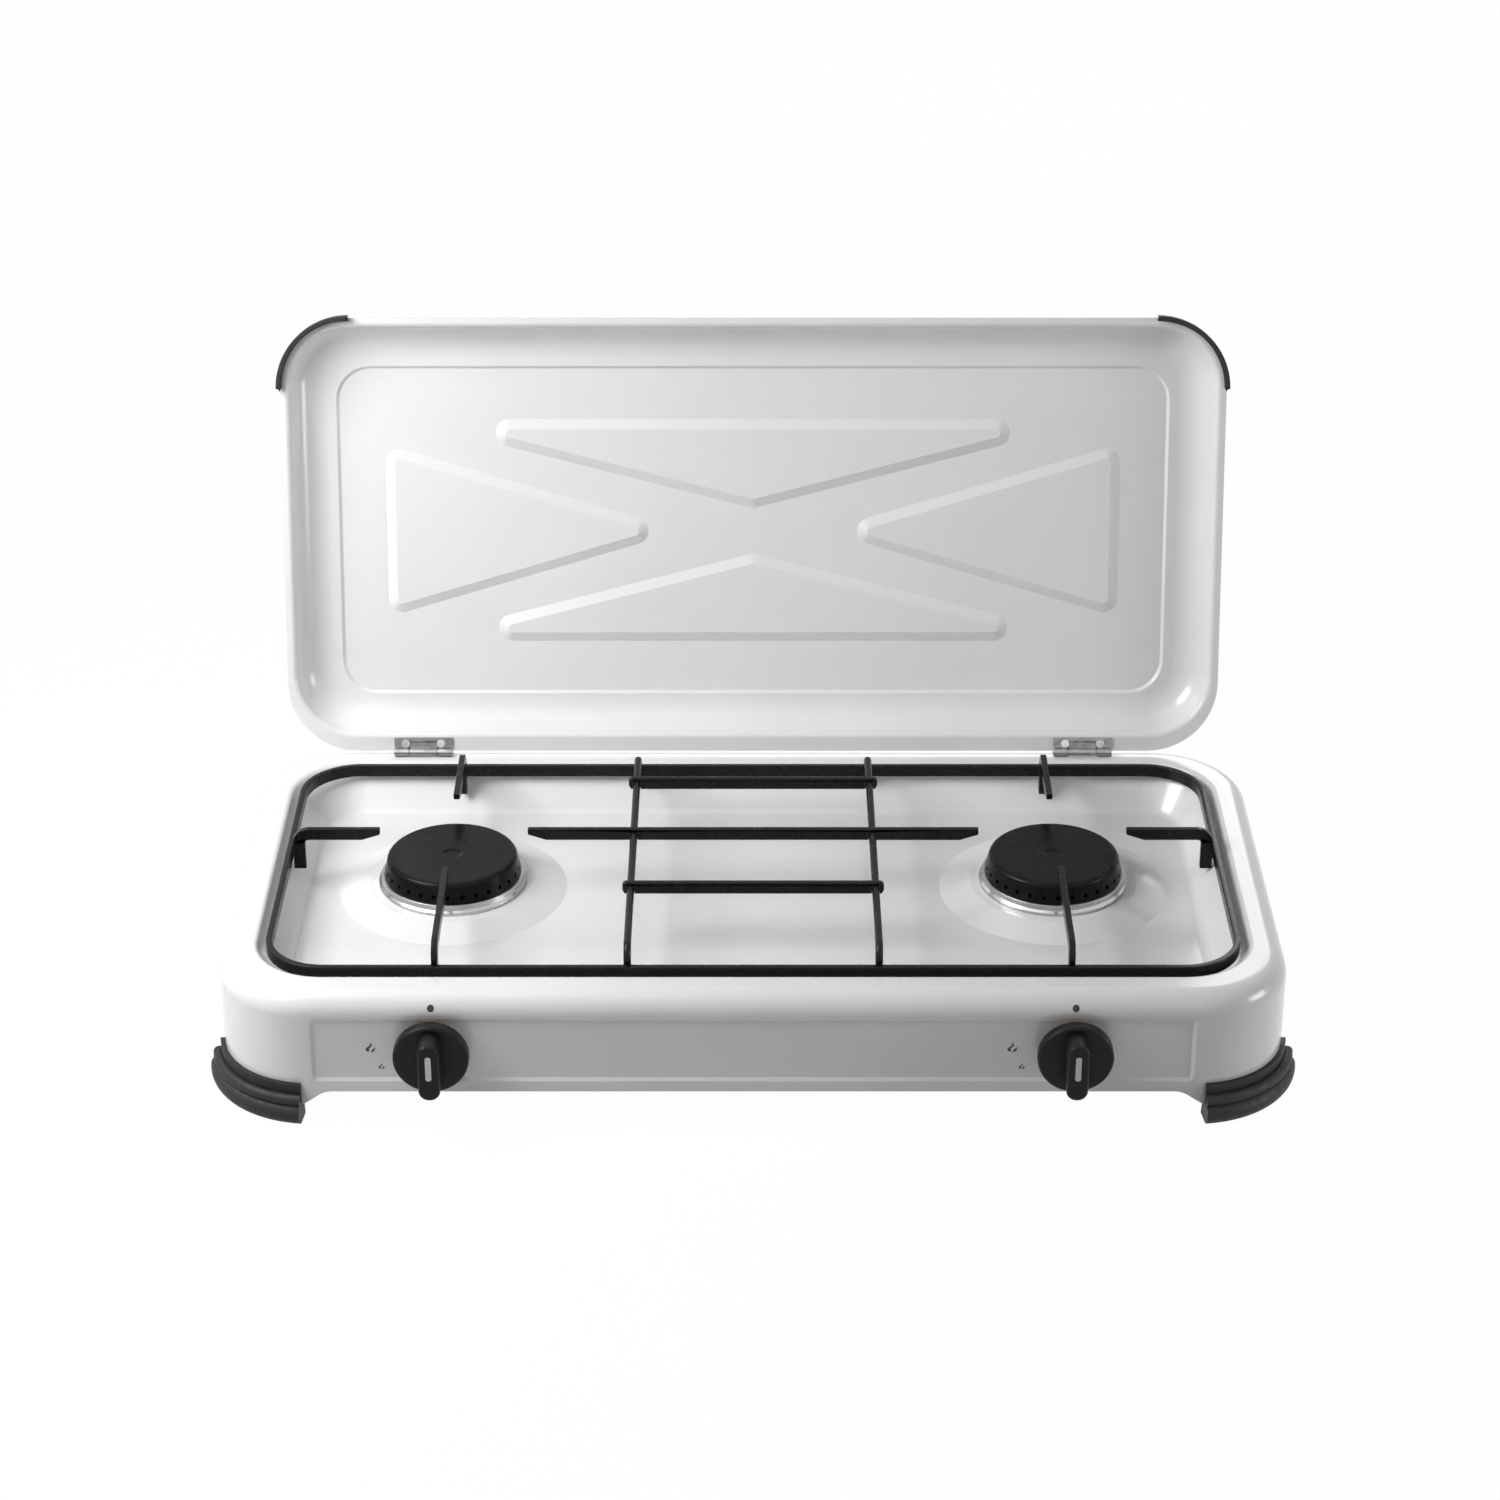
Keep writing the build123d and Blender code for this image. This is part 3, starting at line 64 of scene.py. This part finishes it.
# Camera, as fitted to the photograph
LENS = 86.4
SENSOR = 36.0
CAMERA_PLACE = (-0.0015, -1.5523, 0.927)
CAMERA_PITCH = 27.5  # degrees below the horizon

# Light
WORLD_LIGHT = 0.10
FLOOR_WHITE = 0.95  # share of the floor's tone that stays white in its shadows
FLOOR_RADIUS = 8.0
BACKDROP_GLOW = 1.03
# Each lamp's place, aim, size and watts
LAMPS = {
    "key": ((-0.54, -0.18, 0.58), (0, 0, 0.1), (0.4, 0.4), 5.2),
    "top": ((-0.5, -0.1, 1.5), (-0.1, 0, 0.05), (1.2, 0.9), 2.6),
    "side": ((1.25, -0.32, 0.24), (0.25, -0.08, 0.05), (0.4, 0.4), 3.6),
    "rear": ((0.3, 1.7, 0.9), (0, 0.1, 0.12), (1.2, 0.8), 9.0),
}

# Printed marks on the front, from each knob's middle
DOT_R = 1.6 * MM
DOT_RISE = 21.0 * MM
# Each flame's place across and up, and its share of the full height
FLAME_OFFSETS = {"large": (-28.5 * MM, 0.0, 1.0), "small": (-23.8 * MM, -10.2 * MM, 0.62)}
FLAME_HEIGHT = 5.0 * MM
# A flame's tongues in shares of its height: foot across and up, height, width, lean, curl
TONGUES = ((-0.2, 0.06, 0.94, 0.15, 0.14, -0.14), (0.12, 0.0, 0.5, 0.13, 0.3, 0.0))
INK = 0.06 * MM
RAY_ROOM = 0.05  # how far in front of the part a ray starts

# Welds of the pan support
FINGER_BEAD_R = 0.95 * MM
WIRE_BEAD_R = 0.8 * FINGER_BEAD_R
FINGER_BEAD_INSET = 0.4 * MM  # from the frame's top and bottom
WIRE_BEAD_INSET = 0.6 * MM
WIRE_BEAD_SPREAD = 0.75  # shares of the wire's radius
BAR_BEAD_HEIGHT = 1.7
LUMP = 0.3  # share of a bead's radius
LUMP_WAVES = 900  # a metre

# Rounded edges, as modifier widths
BAR_EDGE = 0.45 * MM
TRIM_EDGE = 0.22 * MM
EDGE_ANGLE = 38  # degrees, above which an edge is rounded
JOIN_GAP = 1e-6

# Middle of the textures' range, which the looks are spread over
NOISE_LOW, NOISE_HIGH = 0.3, 0.7

# Turned burner rings
RING_GREY = 0.48
RING_ROUGHNESS = 0.18
RING_MARKS = 700  # a metre


# Materials
def shader_of(material):
    return material.node_tree.nodes["Principled BSDF"]


def new_material(name, colour, roughness, metallic=0.0, mirror=0.5):
    material = bpy.data.materials.new(name)
    material.use_nodes = True
    shader = shader_of(material)
    shader.inputs["Base Color"].default_value = (*colour, 1)
    shader.inputs["Roughness"].default_value = roughness
    shader.inputs["Metallic"].default_value = metallic
    shader.inputs["Specular IOR Level"].default_value = mirror
    return material


def add_node(owner, kind, **values):
    node = owner.node_tree.nodes.new(kind)
    for name, value in values.items():
        setattr(node, name, value)
    return node


def link(owner, source, target):
    owner.node_tree.links.new(source, target)


def place(material, offset=(0, 0, 0)):
    """Texture coordinates in the part's own frame, in metres."""
    coordinates = add_node(material, "ShaderNodeTexCoord")
    mapping = add_node(material, "ShaderNodeMapping")
    mapping.inputs["Location"].default_value = offset
    link(material, coordinates.outputs["Object"], mapping.inputs["Vector"])
    return mapping.outputs["Vector"]


def grain(material, scale, detail):
    """Soft noise with so many waves a metre."""
    texture = add_node(material, "ShaderNodeTexNoise")
    texture.inputs["Scale"].default_value = scale
    texture.inputs["Detail"].default_value = detail
    link(material, place(material), texture.inputs["Vector"])
    return texture.outputs["Fac"]


def cells(material, scale):
    """Random grey cells with so many a metre."""
    texture = add_node(material, "ShaderNodeTexVoronoi")
    texture.inputs["Scale"].default_value = scale
    link(material, place(material), texture.inputs["Vector"])
    return texture.outputs["Color"]


def rings(material, scale, centre):
    """Turning marks about an upright axis."""
    texture = add_node(material, "ShaderNodeTexWave", wave_type="RINGS", rings_direction="Z")
    texture.inputs["Scale"].default_value = scale
    texture.inputs["Distortion"].default_value = 0.6
    texture.inputs["Detail"].default_value = 2.0
    link(material, place(material, (-centre.x, -centre.y, 0)), texture.inputs["Vector"])
    return texture.outputs["Fac"]


def vary_colour(material, factor, dark, light, low=NOISE_LOW, high=NOISE_HIGH):
    ramp = add_node(material, "ShaderNodeValToRGB")
    ramp.color_ramp.elements[0].position = low
    ramp.color_ramp.elements[0].color = (*dark, 1)
    ramp.color_ramp.elements[1].position = high
    ramp.color_ramp.elements[1].color = (*light, 1)
    link(material, factor, ramp.inputs["Fac"])
    link(material, ramp.outputs["Color"], shader_of(material).inputs["Base Color"])


def vary_roughness(material, factor, low, high):
    span = add_node(material, "ShaderNodeMapRange")
    span.inputs["From Min"].default_value = NOISE_LOW
    span.inputs["From Max"].default_value = NOISE_HIGH
    span.inputs["To Min"].default_value = low
    span.inputs["To Max"].default_value = high
    link(material, factor, span.inputs["Value"])
    link(material, span.outputs["Result"], shader_of(material).inputs["Roughness"])


def add_bump(material, height, strength, depth):
    bump = add_node(material, "ShaderNodeBump")
    bump.inputs["Strength"].default_value = strength
    bump.inputs["Distance"].default_value = depth
    link(material, height, bump.inputs["Height"])
    link(material, bump.outputs["Normal"], shader_of(material).inputs["Normal"])


def grey(value):
    return (value, value, value)


def white_enamel():
    material = new_material("white_enamel", grey(0.84), 0.24)
    shader = shader_of(material)
    shader.inputs["Coat Weight"].default_value = 0.35
    shader.inputs["Coat Roughness"].default_value = 0.14
    vary_colour(material, grain(material, 14, 4), (0.825, 0.825, 0.82), (0.86, 0.86, 0.857))
    vary_roughness(material, grain(material, 40, 2), 0.2, 0.25)
    add_bump(material, grain(material, 45, 1), 0.03, 0.4 * MM)
    return material


def black_enamel():
    material = new_material("black_enamel", grey(0.005), 0.22, mirror=0.11)
    vary_colour(material, grain(material, 160, 5), grey(0.004), grey(0.008))
    vary_roughness(material, grain(material, 70, 4), 0.2, 0.32)
    add_bump(material, grain(material, 420, 3), 0.08, 0.2 * MM)
    return material


def support_enamel():
    material = new_material("support_enamel", grey(0.006), 0.28, mirror=0.2)
    vary_colour(material, grain(material, 120, 4), grey(0.004), grey(0.008))
    vary_roughness(material, grain(material, 160, 3), 0.22, 0.3)
    add_bump(material, grain(material, 210, 3), 0.03, 0.2 * MM)
    return material


def rubber():
    material = new_material("rubber", grey(0.014), 0.6, mirror=0.35)
    vary_colour(material, grain(material, 60, 5), grey(0.010), grey(0.020))
    vary_roughness(material, grain(material, 240, 4), 0.48, 0.68)
    add_bump(material, grain(material, 1500, 3), 0.25, 0.12 * MM)
    return material


def knob_plastic():
    material = new_material("knob_plastic", grey(0.006), 0.38, mirror=0.17)
    vary_colour(material, grain(material, 90, 3), grey(0.006), grey(0.011))
    vary_roughness(material, grain(material, 500, 3), 0.32, 0.46)
    add_bump(material, cells(material, 2600), 0.12, 0.06 * MM)
    return material


def pointer_white():
    material = new_material("pointer_white", grey(0.74), 0.45)
    vary_colour(material, grain(material, 700, 3), grey(0.68), grey(0.80))
    add_bump(material, grain(material, 1800, 2), 0.1, 0.05 * MM)
    return material


def ring_metal(name, centre):
    """Turned aluminium. Each burner has its own, so that the marks run round its axis."""
    material = new_material(name, grey(RING_GREY), RING_ROUGHNESS, 1.0)
    marks = rings(material, RING_MARKS, centre)
    vary_roughness(material, marks, RING_ROUGHNESS - 0.06, RING_ROUGHNESS + 0.1)
    add_bump(material, marks, 0.12, 0.1 * MM)
    return material


def burner_casting():
    material = new_material("burner_casting", grey(0.56), 0.5, 1.0)
    vary_colour(material, grain(material, 80, 5), grey(0.46), grey(0.62))
    vary_roughness(material, grain(material, 200, 4), 0.42, 0.6)
    add_bump(material, grain(material, 700, 4), 0.4, 0.3 * MM)
    return material


def brass():
    material = new_material("brass", (0.72, 0.53, 0.24), 0.3, 1.0)
    vary_colour(material, grain(material, 130, 4), (0.60, 0.42, 0.18), (0.78, 0.58, 0.28))
    vary_roughness(material, grain(material, 400, 3), 0.24, 0.4)
    add_bump(material, grain(material, 900, 2), 0.12, 0.1 * MM)
    return material


def plated(name, value, roughness):
    material = new_material(name, grey(value), roughness, 1.0)
    vary_colour(material, cells(material, 420), grey(value - 0.06), grey(value + 0.05), 0.1, 0.9)
    vary_roughness(material, grain(material, 260, 4), roughness - 0.07, roughness + 0.1)
    add_bump(material, grain(material, 1300, 3), 0.1, 0.1 * MM)
    return material


def gas_pipe():
    return plated("gas_pipe", 0.52, 0.36)


def zinc_steel():
    return plated("zinc_steel", 0.36, 0.36)


def print_ink():
    material = new_material("print_ink", grey(0.02), 0.4)
    vary_colour(material, grain(material, 2500, 3), grey(0.012), grey(0.035))
    return material


MAKERS = (
    white_enamel, black_enamel, support_enamel, rubber, knob_plastic, pointer_white,
    burner_casting, brass, gas_pipe, zinc_steel,
)
LOOKS = {make.__name__: make() for make in MAKERS}
INK_LOOK = print_ink()
RIVET_LOOK = plated("bright_rivets", 0.86, 0.2)

# Pieces that look unlike the rest of their material
OWN_LOOKS = {"lid_hinge_rivets": RIVET_LOOK, "base_hinge_rivets": RIVET_LOOK}
for side_name in SIDES:
    low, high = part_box(f"burner_ring_{side_name}")
    ring_look = ring_metal(f"burner_ring_{side_name}_metal", (low + high) / 2)
    OWN_LOOKS[f"burner_ring_{side_name}"] = ring_look

for part in frame["record"]["subparts"]:
    materials = NODES[part["node"]].data.materials
    materials.clear()
    materials.append(OWN_LOOKS.get(part["node"]) or LOOKS[part["material_slot"]])


# Rounded edges on the pieces that the camera sees close up
def round_edges(node_name, width):
    node = NODES[node_name]
    weld = node.modifiers.new("join_faces", "WELD")
    weld.merge_threshold = JOIN_GAP
    bevel = node.modifiers.new("round_edges", "BEVEL")
    bevel.width = width
    bevel.segments = 2
    bevel.limit_method = "ANGLE"
    bevel.angle_limit = math.radians(EDGE_ANGLE)
    node.modifiers.new("even_shading", "WEIGHTED_NORMAL")


for node_name in NODES:
    if node_name.startswith(("pan_finger", "pan_bar", "pan_frame", "lid_strip")):
        round_edges(node_name, BAR_EDGE)
    if node_name.startswith(("hinge_lid", "hinge_base", "burner_ring", "inlet_nut", "tap_nut")):
        round_edges(node_name, TRIM_EDGE)


def new_piece(name, mesh, look, body):
    for face in mesh.faces:
        face.smooth = True
    bmesh.ops.recalc_face_normals(mesh, faces=mesh.faces)
    data = bpy.data.meshes.new(name)
    mesh.to_mesh(data)
    mesh.free()
    data.materials.append(look)
    piece = bpy.data.objects.new(name, data)
    bpy.context.scene.collection.objects.link(piece)
    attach(piece, body)


# Printed marks, laid on the front of the body
body_mesh = bmesh.new()
body_mesh.from_mesh(NODES["body_shell"].data)
BODY_SURFACE = BVHTree.FromBMesh(body_mesh)
body_mesh.free()


def on_front(x, z, lift):
    """A point on the body's front, this far out of its surface."""
    start = Vector((x, CAD_BOX[0].y - RAY_ROOM, z))
    hit, normal, _, _ = BODY_SURFACE.ray_cast(start, Vector((0, 1, 0)))
    if normal.y > 0:
        normal = -normal
    return hit + normal * lift


def print_patch(mesh, rows):
    """A closed skin of ink over a grid of (x, z) places."""
    layers = []
    for lift in (INK, -INK):
        layers.append([[mesh.verts.new(on_front(x, z, lift)) for x, z in row] for row in rows])
    top, under = layers
    last_row = len(rows) - 1
    last_column = len(rows[0]) - 1
    for i in range(last_row):
        for j in range(last_column):
            mesh.faces.new((top[i][j], top[i][j + 1], top[i + 1][j + 1], top[i + 1][j]))
            mesh.faces.new((under[i][j], under[i + 1][j], under[i + 1][j + 1], under[i][j + 1]))
    edge = [(0, j) for j in range(last_column)]
    edge += [(i, last_column) for i in range(last_row)]
    edge += [(last_row, j) for j in range(last_column, 0, -1)]
    edge += [(i, 0) for i in range(last_row, 0, -1)]
    for (i, j), (k, m) in zip(edge, edge[1:] + edge[:1]):
        mesh.faces.new((top[i][j], under[i][j], under[k][m], top[k][m]))


def disc_rows(x, z, radius, steps=12):
    """A square grid pushed out to a disc."""
    rows = []
    for i in range(steps + 1):
        row = []
        for j in range(steps + 1):
            u = 2 * i / steps - 1
            v = 2 * j / steps - 1
            across = radius * u * math.sqrt(1 - v * v / 2)
            up = radius * v * math.sqrt(1 - u * u / 2)
            row.append((x + across, z + up))
        rows.append(row)
    return rows


def tongue_rows(x, z, height, width, lean, curl, steps=16):
    """A flame's tongue: a bent stroke, full at its foot and pointed at its tip."""
    rows = []
    for i in range(steps + 1):
        t = i / steps
        half = width * (0.12 + 0.88 * math.sin(math.pi * (0.14 + 0.84 * t) ** 0.7))
        middle = x + lean * t + curl * math.sin(2 * math.pi * t)
        rows.append([(middle + half * u, z + height * t) for u in (-1, 0, 1)])
    return rows


for side_name in SIDES:
    low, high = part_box(f"knob_{side_name}")
    knob_x = (low.x + high.x) / 2
    knob_z = (low.z + high.z) / 2
    mesh = bmesh.new()
    print_patch(mesh, disc_rows(knob_x, knob_z + DOT_RISE, DOT_R))
    new_piece(f"off_mark_{side_name}", mesh, INK_LOOK, "base")
    for size_name, (across, up, scale) in FLAME_OFFSETS.items():
        tall = FLAME_HEIGHT * scale
        foot_x = knob_x + across
        foot_z = knob_z + up - tall / 2
        mesh = bmesh.new()
        for tongue in TONGUES:
            x, z, *shape = (share * tall for share in tongue)
            print_patch(mesh, tongue_rows(foot_x + x, foot_z + z, *shape))
        new_piece(f"flame_mark_{size_name}_{side_name}", mesh, INK_LOOK, "base")


# Weld beads on the pan support
def bead(mesh, start, end, radius, seed):
    """A lumpy run of weld between two points."""
    around, along = 10, 9
    axis = (end - start).normalized()
    side = axis.orthogonal().normalized()
    up = axis.cross(side)
    loops = []
    for i in range(along + 1):
        t = i / along
        swell = math.sin(math.pi * (0.08 + 0.84 * t)) ** 0.5
        loop = []
        for j in range(around):
            turn = 2 * math.pi * j / around
            out = side * math.cos(turn) + up * math.sin(turn)
            centre = start.lerp(end, t)
            spot = (centre + out * radius) * LUMP_WAVES + Vector((seed, 0, 0))
            lump = 1 + LUMP * noise.noise(spot)
            loop.append(mesh.verts.new(centre + out * radius * swell * lump))
        loops.append(loop)
    for first, second in zip(loops, loops[1:]):
        for j in range(around):
            k = (j + 1) % around
            mesh.faces.new((first[j], first[k], second[k], second[j]))
    mesh.faces.new(loops[0])
    mesh.faces.new(list(reversed(loops[-1])))


frame_low, frame_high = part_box("pan_frame")
frame_height = frame_high.z - frame_low.z
welds = bmesh.new()
seeds = itertools.count(1)


def upright_bead(x, y, z, height, radius):
    foot = Vector((x, y, z))
    bead(welds, foot, foot + Vector((0, 0, height)), radius, next(seeds))


def frame_bead(x, y, inset, radius):
    """A bead up the frame's side, this far short of its top and bottom."""
    upright_bead(x, y, frame_low.z + inset, frame_height - 2 * inset, radius)


for side_name, side in SIDES.items():
    wire_low, wire_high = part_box(f"pan_wire_{side_name}")
    wire_x = (wire_low.x + wire_high.x) / 2
    wire_r = (wire_high.x - wire_low.x) / 2
    wire_foot = wire_high.z - 2 * wire_r
    for bar_name in ("centre", "front", "rear"):
        bar_low, bar_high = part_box(f"pan_bar_{bar_name}")
        for y in (bar_low.y, bar_high.y):
            for across in (-1, 1):
                x = wire_x + across * wire_r
                upright_bead(x, y, wire_foot, BAR_BEAD_HEIGHT * wire_r, WIRE_BEAD_R)
    for y in (wire_low.y, wire_high.y):
        for across in (-1, 1):
            x = wire_x + across * WIRE_BEAD_SPREAD * wire_r
            frame_bead(x, y, WIRE_BEAD_INSET, WIRE_BEAD_R)
    for finger in ("side", "front", "rear"):
        low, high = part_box(f"pan_finger_{finger}_{side_name}")
        for across in (-1, 1):
            if finger == "side":
                x = low.x if side < 0 else high.x
                y = (low.y + high.y) / 2 + across * (high.y - low.y) / 2
            else:
                x = (low.x + high.x) / 2 + across * (high.x - low.x) / 2
                y = low.y if finger == "front" else high.y
            frame_bead(x, y, FINGER_BEAD_INSET, FINGER_BEAD_R)
new_piece("support_welds", welds, LOOKS["support_enamel"], "pan_support")


# Stage
def backdrop_share(owner, amount):
    """Camera, mirror and glass rays, which see the backdrop as white."""
    path = add_node(owner, "ShaderNodeLightPath")
    total = path.outputs["Is Camera Ray"]
    for name in ("Is Glossy Ray", "Is Transmission Ray"):
        either = add_node(owner, "ShaderNodeMath", operation="MAXIMUM")
        link(owner, total, either.inputs[0])
        link(owner, path.outputs[name], either.inputs[1])
        total = either.outputs[0]
    share = add_node(owner, "ShaderNodeMath", operation="MULTIPLY")
    share.inputs[1].default_value = amount
    link(owner, total, share.inputs[0])
    return share.outputs[0]


def floor_material():
    """Pale floor that keeps a light shadow and can't be seen from below."""
    material = new_material("floor", grey(0.45), 0.9)
    nodes = material.node_tree.nodes
    white = add_node(material, "ShaderNodeEmission")
    white.inputs["Strength"].default_value = BACKDROP_GLOW
    lit = add_node(material, "ShaderNodeMixShader")
    clear = add_node(material, "ShaderNodeBsdfTransparent")
    geometry = add_node(material, "ShaderNodeNewGeometry")
    sided = add_node(material, "ShaderNodeMixShader")
    link(material, backdrop_share(material, FLOOR_WHITE), lit.inputs["Fac"])
    link(material, nodes["Principled BSDF"].outputs[0], lit.inputs[1])
    link(material, white.outputs[0], lit.inputs[2])
    link(material, geometry.outputs["Backfacing"], sided.inputs["Fac"])
    link(material, lit.outputs[0], sided.inputs[1])
    link(material, clear.outputs[0], sided.inputs[2])
    link(material, sided.outputs[0], nodes["Material Output"].inputs["Surface"])
    return material


def add_floor():
    mesh = bmesh.new()
    bmesh.ops.create_circle(mesh, cap_ends=True, segments=96, radius=FLOOR_RADIUS)
    data = bpy.data.meshes.new("floor")
    mesh.to_mesh(data)
    mesh.free()
    data.materials.append(floor_material())
    floor = bpy.data.objects.new("floor", data)
    bpy.context.scene.collection.objects.link(floor)


def add_world():
    world = bpy.data.worlds.new("studio")
    world.use_nodes = True
    bpy.context.scene.world = world
    nodes = world.node_tree.nodes
    light = nodes["Background"]
    light.inputs["Strength"].default_value = WORLD_LIGHT
    light.inputs["Color"].default_value = (1, 1, 1, 1)
    white = nodes.new("ShaderNodeBackground")
    white.inputs["Color"].default_value = (1, 1, 1, 1)
    white.inputs["Strength"].default_value = BACKDROP_GLOW
    mix = nodes.new("ShaderNodeMixShader")
    link(world, backdrop_share(world, 1.0), mix.inputs["Fac"])
    link(world, light.outputs[0], mix.inputs[1])
    link(world, white.outputs[0], mix.inputs[2])
    link(world, mix.outputs[0], nodes["World Output"].inputs["Surface"])


def add_lamp(name, spot, aim, size, watts):
    data = bpy.data.lights.new(name, "AREA")
    data.shape = "RECTANGLE"
    data.size, data.size_y = size
    data.energy = watts
    lamp = bpy.data.objects.new(name, data)
    lamp.location = spot
    lamp.rotation_euler = (Vector(aim) - Vector(spot)).to_track_quat("-Z", "Y").to_euler()
    bpy.context.scene.collection.objects.link(lamp)


def add_camera():
    data = bpy.data.cameras.new("camera")
    data.lens = LENS
    data.sensor_width = SENSOR
    data.clip_start = 0.05
    data.clip_end = 100
    camera = bpy.data.objects.new("camera", data)
    camera.location = CAMERA_PLACE
    camera.rotation_euler = (math.radians(90 - CAMERA_PITCH), 0, 0)
    bpy.context.scene.collection.objects.link(camera)
    bpy.context.scene.camera = camera


add_floor()
add_world()
for lamp_name, lamp in LAMPS.items():
    add_lamp(lamp_name, *lamp)
add_camera()
bpy.context.scene.view_settings.view_transform = "Standard"
